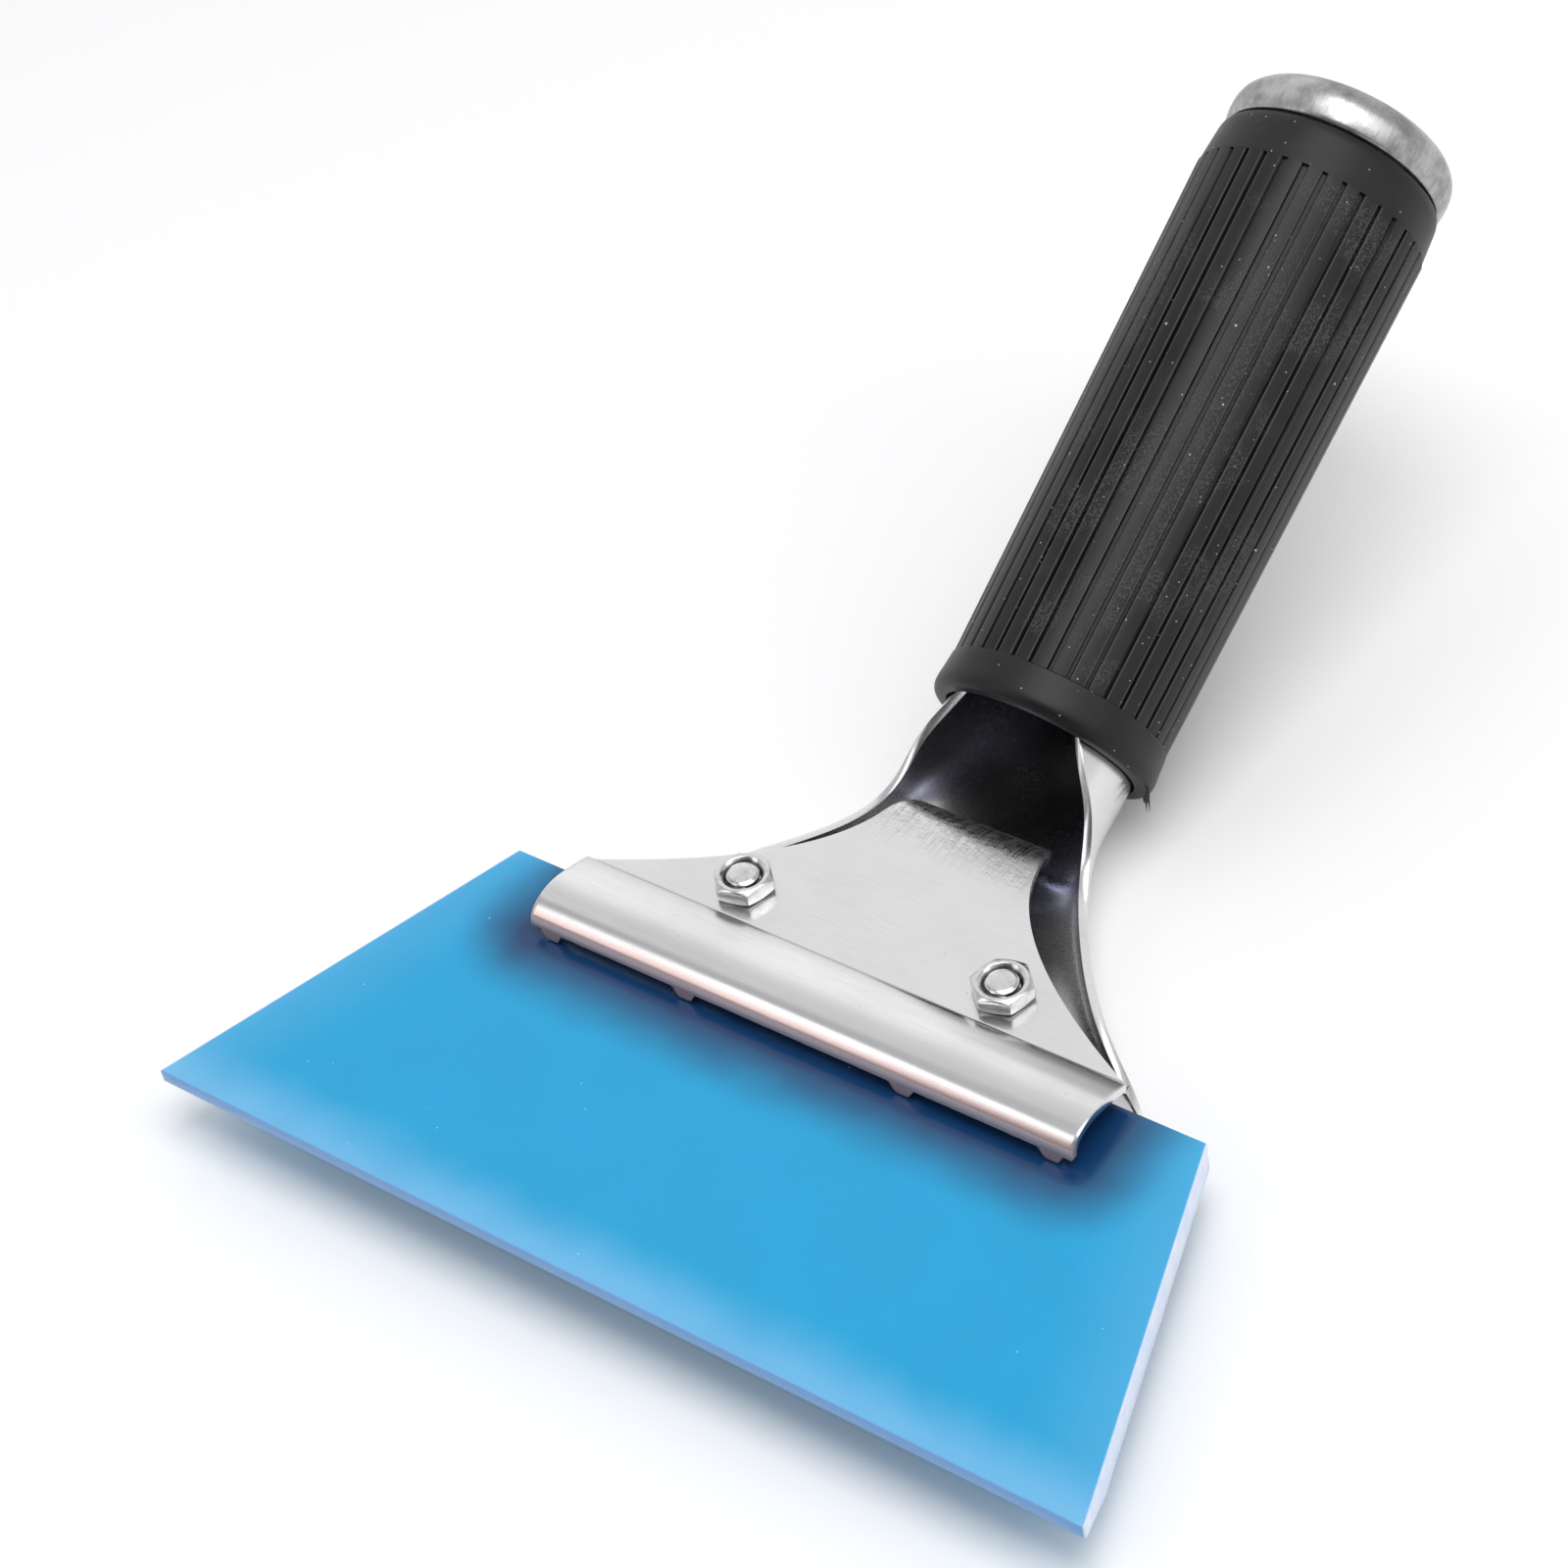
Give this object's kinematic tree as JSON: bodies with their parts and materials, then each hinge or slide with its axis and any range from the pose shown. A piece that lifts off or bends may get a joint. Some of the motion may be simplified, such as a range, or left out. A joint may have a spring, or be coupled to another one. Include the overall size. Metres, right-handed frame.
{
  "type": "squeegee applicator",
  "caption": "Hand squeegee with a flat flared urethane blade clamped between two stamped steel jaws, on a ribbed rubber grip with a steel end cap.",
  "frame": {"origin": "middle of the blade's flat working-edge face", "axes": "+X along the working edge, +Y in the blade's plane from the edge towards the handle, +Z out of the face on which the nuts are"},
  "size_m": [0.15, 0.2065, 0.0754],
  "materials": {
    "blade_urethane": "smooth translucent blue urethane",
    "polished_sheet": "polished stainless sheet with fine brushing",
    "grip_rubber": "satin black moulded rubber",
    "brushed_cap": "brushed and lightly mottled steel",
    "plated_fastener": "bright plated steel"
  },
  "bodies": {
    "handle": {"handle_frame": "polished_sheet", "grip_sleeve": "grip_rubber", "end_cap": "brushed_cap", "screw_left": "plated_fastener", "screw_right": "plated_fastener"},
    "upper_jaw": {"clamp_plate": "polished_sheet"},
    "left_nut": {"nut_left": "plated_fastener"},
    "right_nut": {"nut_right": "plated_fastener"},
    "blade_body": {"blade": "blade_urethane"}
  },
  "joints": [
    {"name": "clamp_open", "type": "slide", "parent": "handle", "child": "upper_jaw", "axis": [0, 0, 1], "range_m": [0, 0.002]},
    {"name": "left_nut_turn", "type": "hinge", "parent": "upper_jaw", "child": "left_nut", "pos_m": [-0.0215, 0.0651, 0.0055], "axis": [0, 0, 1], "range_deg": [0, 901]},
    {"name": "right_nut_turn", "type": "hinge", "parent": "upper_jaw", "child": "right_nut", "pos_m": [0.0215, 0.0651, 0.0055], "axis": [0, 0, 1], "range_deg": [0, 901]},
    {"name": "blade_draw", "type": "slide", "parent": "handle", "child": "blade_body", "axis": [0, -1, 0], "range_m": [0, 0.02]}
  ],
  "couplings": [
    {"joint": "left_nut_turn", "follows": "clamp_open", "rad_per_m": 7854},
    {"joint": "right_nut_turn", "follows": "clamp_open", "rad_per_m": 7854}
  ]
}
